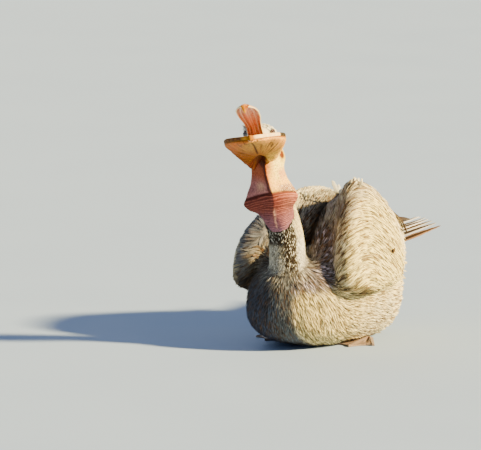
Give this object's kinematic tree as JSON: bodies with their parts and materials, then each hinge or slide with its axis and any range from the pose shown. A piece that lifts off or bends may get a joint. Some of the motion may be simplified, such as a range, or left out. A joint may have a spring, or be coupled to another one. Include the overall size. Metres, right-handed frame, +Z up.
{
  "type": "pelican",
  "caption": "Life-size pelican afloat on its belly, bill raised and lower jaw bowed wide, with its orange pouch hanging open.",
  "frame": {"origin": "centre of the flat under the belly, on the floor", "axes": "+Z up, the body faces -Y, the bird's left side is +X"},
  "size_m": [0.3477, 1.2085, 0.5967],
  "materials": {
    "plumage": "matte cream and grey-brown contour feathers",
    "wing_plumage": "matte cream lanceolate feathers with grey-brown streaks",
    "flight_feather": "silvery grey vanes with dark shafts",
    "pouch_skin": "wet, thin orange skin",
    "throat_skin": "wet pink-red skin with fine folds",
    "bill_horn": "satin pink-orange horn",
    "nail_horn": "glossy orange-yellow horn",
    "eye": "wet, dark red-brown",
    "leg_skin": "grey scaly skin"
  },
  "bodies": {
    "root": {"trunk": "plumage", "neck_lower": "plumage", "neck_upper": "plumage", "head": "plumage", "mantle_left": "wing_plumage", "mantle_right": "wing_plumage", "wing_left": "wing_plumage", "wing_right": "wing_plumage", "primaries_left": "flight_feather", "primaries_right": "flight_feather", "tail": "flight_feather", "eye_left": "eye", "eye_right": "eye", "bill_upper": "bill_horn", "bill_nail": "nail_horn", "bill_lower": "bill_horn", "pouch": "pouch_skin", "throat": "throat_skin", "leg_left": "leg_skin", "leg_right": "leg_skin", "foot_left": "leg_skin", "foot_right": "leg_skin"}
  },
  "joints": []
}
